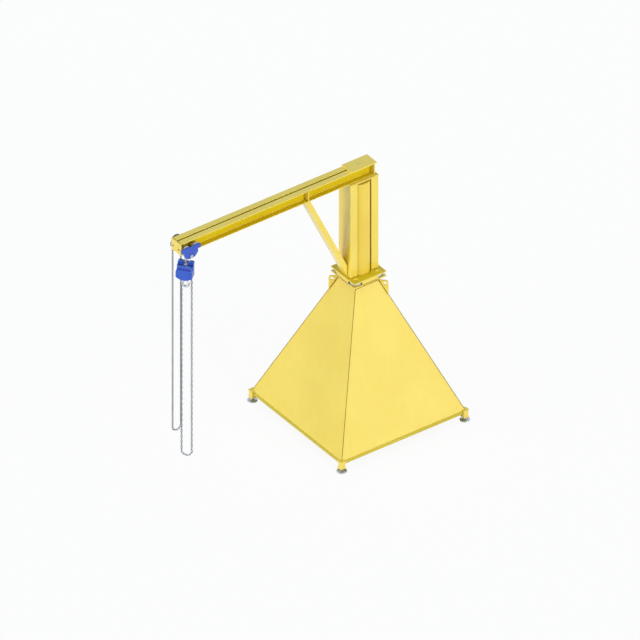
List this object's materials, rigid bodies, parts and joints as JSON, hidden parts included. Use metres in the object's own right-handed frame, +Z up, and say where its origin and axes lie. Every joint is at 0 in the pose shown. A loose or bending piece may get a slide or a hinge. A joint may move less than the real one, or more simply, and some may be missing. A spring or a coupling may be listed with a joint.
{
  "type": "engine hoist crane",
  "caption": "Free-standing slewing jib crane on a ballasted pyramid base with levelling feet, braced channel boom, geared trolley and hand chain hoist for lifting engines.",
  "frame": {"origin": "on the floor, in the middle of the crane's length and width", "axes": "+Z up, +X along the boom from the mast towards its outer end, +Y to the left of someone who looks out along the boom"},
  "size_m": [2.3062, 1.22, 2.2654],
  "materials": {
    "yellow_paint": "semi-gloss golden yellow paint on steel",
    "blue_paint": "semi-gloss blue paint on steel",
    "zinc_plate": "bright zinc plating",
    "bright_steel": "machined steel, lightly oiled",
    "concrete": "cast concrete"
  },
  "bodies": {
    "base": {"base_tray": "yellow_paint", "corner_bracket_1": "yellow_paint", "corner_bracket_2": "yellow_paint", "corner_bracket_3": "yellow_paint", "corner_bracket_4": "yellow_paint", "side_sheet_1": "yellow_paint", "side_sheet_2": "yellow_paint", "side_sheet_3": "yellow_paint", "side_sheet_4": "yellow_paint", "concrete_ballast": "concrete", "cap_plate": "yellow_paint", "lifting_lug_1": "yellow_paint", "lifting_lug_2": "yellow_paint", "mast_tube": "yellow_paint", "king_pin": "bright_steel"},
    "foot_1": {"foot_spindle_1": "zinc_plate", "foot_pad_1": "zinc_plate"},
    "foot_2": {"foot_spindle_2": "zinc_plate", "foot_pad_2": "zinc_plate"},
    "foot_3": {"foot_spindle_3": "zinc_plate", "foot_pad_3": "zinc_plate"},
    "foot_4": {"foot_spindle_4": "zinc_plate", "foot_pad_4": "zinc_plate"},
    "slewing_frame": {"cage_lower_plate": "yellow_paint", "cage_upper_plate": "yellow_paint", "column_front": "yellow_paint", "column_rear": "yellow_paint", "head_plate": "yellow_paint", "brace": "yellow_paint", "boom_channel_left": "yellow_paint", "boom_channel_right": "yellow_paint", "stiffener_left": "yellow_paint", "stiffener_right": "yellow_paint", "boom_end_plate": "yellow_paint", "boom_rear_plate": "yellow_paint", "top_plate": "yellow_paint"},
    "roller_1": {"guide_roller_1": "bright_steel"},
    "roller_2": {"guide_roller_2": "bright_steel"},
    "roller_3": {"guide_roller_3": "bright_steel"},
    "roller_4": {"guide_roller_4": "bright_steel"},
    "trolley": {"side_plate_left": "blue_paint", "side_plate_right": "blue_paint", "load_bar": "zinc_plate", "drive_chain": "zinc_plate"},
    "wheel_1": {"trolley_wheel_1": "bright_steel"},
    "wheel_2": {"trolley_wheel_2": "bright_steel"},
    "wheel_3": {"trolley_wheel_3": "bright_steel"},
    "wheel_4": {"trolley_wheel_4": "bright_steel"},
    "drive": {"drive_wheel": "zinc_plate"},
    "hook_mount": {"top_hook": "zinc_plate"},
    "upper_latch": {"top_hook_latch": "zinc_plate"},
    "hoist": {"rear_cover": "blue_paint", "hoist_frame": "blue_paint", "front_cover": "blue_paint", "hoist_chain": "zinc_plate"},
    "hand_wheel": {"hoist_wheel": "zinc_plate"},
    "sheave": {"load_sheave": "bright_steel"},
    "lift_chain": {"load_chain": "zinc_plate"},
    "hook": {"load_hook": "zinc_plate"},
    "lower_latch": {"load_hook_latch": "zinc_plate"}
  },
  "joints": [
    {"name": "foot_turn_1", "type": "hinge", "parent": "base", "child": "foot_1", "pos_m": [0.02685, 0.57, 0.02], "axis": [0, 0, 1], "continuous": true},
    {"name": "foot_turn_2", "type": "hinge", "parent": "base", "child": "foot_2", "pos_m": [-1.11315, 0.57, 0.02], "axis": [0, 0, 1], "continuous": true},
    {"name": "foot_turn_3", "type": "hinge", "parent": "base", "child": "foot_3", "pos_m": [-1.11315, -0.57, 0.02], "axis": [0, 0, 1], "continuous": true},
    {"name": "foot_turn_4", "type": "hinge", "parent": "base", "child": "foot_4", "pos_m": [0.02685, -0.57, 0.02], "axis": [0, 0, 1], "continuous": true},
    {"name": "slew", "type": "hinge", "parent": "base", "child": "slewing_frame", "pos_m": [-0.54315, 0, 1.276], "axis": [0, 0, 1], "continuous": true},
    {"name": "roller_turn_1", "type": "hinge", "parent": "slewing_frame", "child": "roller_1", "pos_m": [-0.44615, 0.097, 1.276], "axis": [0, 0, 1], "continuous": true},
    {"name": "roller_turn_2", "type": "hinge", "parent": "slewing_frame", "child": "roller_2", "pos_m": [-0.64015, 0.097, 1.276], "axis": [0, 0, 1], "continuous": true},
    {"name": "roller_turn_3", "type": "hinge", "parent": "slewing_frame", "child": "roller_3", "pos_m": [-0.64015, -0.097, 1.276], "axis": [0, 0, 1], "continuous": true},
    {"name": "roller_turn_4", "type": "hinge", "parent": "slewing_frame", "child": "roller_4", "pos_m": [-0.44615, -0.097, 1.276], "axis": [0, 0, 1], "continuous": true},
    {"name": "trolley_travel", "type": "slide", "parent": "slewing_frame", "child": "trolley", "axis": [-1, 0, 0], "range_m": [0, 0.984]},
    {"name": "wheel_turn_1", "type": "hinge", "parent": "trolley", "child": "wheel_1", "pos_m": [1.10485, 0.05, 2.1886], "axis": [0, -1, 0], "continuous": true},
    {"name": "wheel_turn_2", "type": "hinge", "parent": "trolley", "child": "wheel_2", "pos_m": [1.01685, 0.05, 2.1886], "axis": [0, -1, 0], "continuous": true},
    {"name": "wheel_turn_3", "type": "hinge", "parent": "trolley", "child": "wheel_3", "pos_m": [1.01685, -0.05, 2.1886], "axis": [0, -1, 0], "continuous": true},
    {"name": "wheel_turn_4", "type": "hinge", "parent": "trolley", "child": "wheel_4", "pos_m": [1.10485, -0.05, 2.1886], "axis": [0, -1, 0], "continuous": true},
    {"name": "drive_turn", "type": "hinge", "parent": "trolley", "child": "drive", "pos_m": [1.06085, -0.113, 2.166], "axis": [0, -1, 0], "continuous": true},
    {"name": "hoist_swing", "type": "hinge", "parent": "trolley", "child": "hook_mount", "pos_m": [1.06085, 0, 2.122], "axis": [0, 1, 0], "range_deg": [-1.5, 1.5]},
    {"name": "upper_latch_swing", "type": "hinge", "parent": "hook_mount", "child": "upper_latch", "pos_m": [1.04805, 0, 2.0933], "axis": [0, 1, 0], "range_deg": [0, 35], "stiffness_Nm_per_rad": 0.05, "springref_deg": -20.05},
    {"name": "hoist_swivel", "type": "hinge", "parent": "hook_mount", "child": "hoist", "pos_m": [1.06085, 0, 1.992], "axis": [0, 0, 1], "continuous": true},
    {"name": "hand_wheel_turn", "type": "hinge", "parent": "hoist", "child": "hand_wheel", "pos_m": [1.06085, 0, 1.95], "axis": [0.7771, 0.6293, 0], "range_deg": [0, 2812]},
    {"name": "sheave_turn", "type": "hinge", "parent": "hoist", "child": "sheave", "pos_m": [1.047, 0.0171, 1.955], "axis": [0.7771, 0.6293, 0], "range_deg": [0, 234.4]},
    {"name": "hook_lift", "type": "slide", "parent": "hoist", "child": "lift_chain", "axis": [0, 0, -1], "range_m": [0, 0.09]},
    {"name": "hook_swivel", "type": "hinge", "parent": "lift_chain", "child": "hook", "pos_m": [1.06085, 0, 1.881], "axis": [0, 0, 1], "continuous": true},
    {"name": "lower_latch_swing", "type": "hinge", "parent": "hook", "child": "lower_latch", "pos_m": [1.05217, 0.01072, 1.866], "axis": [-0.7771, -0.6293, 0], "range_deg": [0, 25], "stiffness_Nm_per_rad": 0.05, "springref_deg": -20.05}
  ],
  "couplings": [
    {"joint": "roller_turn_1", "follows": "slew", "ratio": 1.8529},
    {"joint": "roller_turn_2", "follows": "slew", "ratio": 1.8529},
    {"joint": "roller_turn_3", "follows": "slew", "ratio": 1.8529},
    {"joint": "roller_turn_4", "follows": "slew", "ratio": 1.8529},
    {"joint": "wheel_turn_1", "follows": "trolley_travel", "rad_per_m": 33.333},
    {"joint": "wheel_turn_2", "follows": "trolley_travel", "rad_per_m": 33.333},
    {"joint": "wheel_turn_3", "follows": "trolley_travel", "rad_per_m": 33.333},
    {"joint": "wheel_turn_4", "follows": "trolley_travel", "rad_per_m": 33.333},
    {"joint": "drive_turn", "follows": "trolley_travel", "rad_per_m": -91.153},
    {"joint": "sheave_turn", "follows": "hand_wheel_turn", "ratio": 0.083333},
    {"joint": "hook_lift", "follows": "hand_wheel_turn", "m_per_rad": 0.0018333}
  ]
}
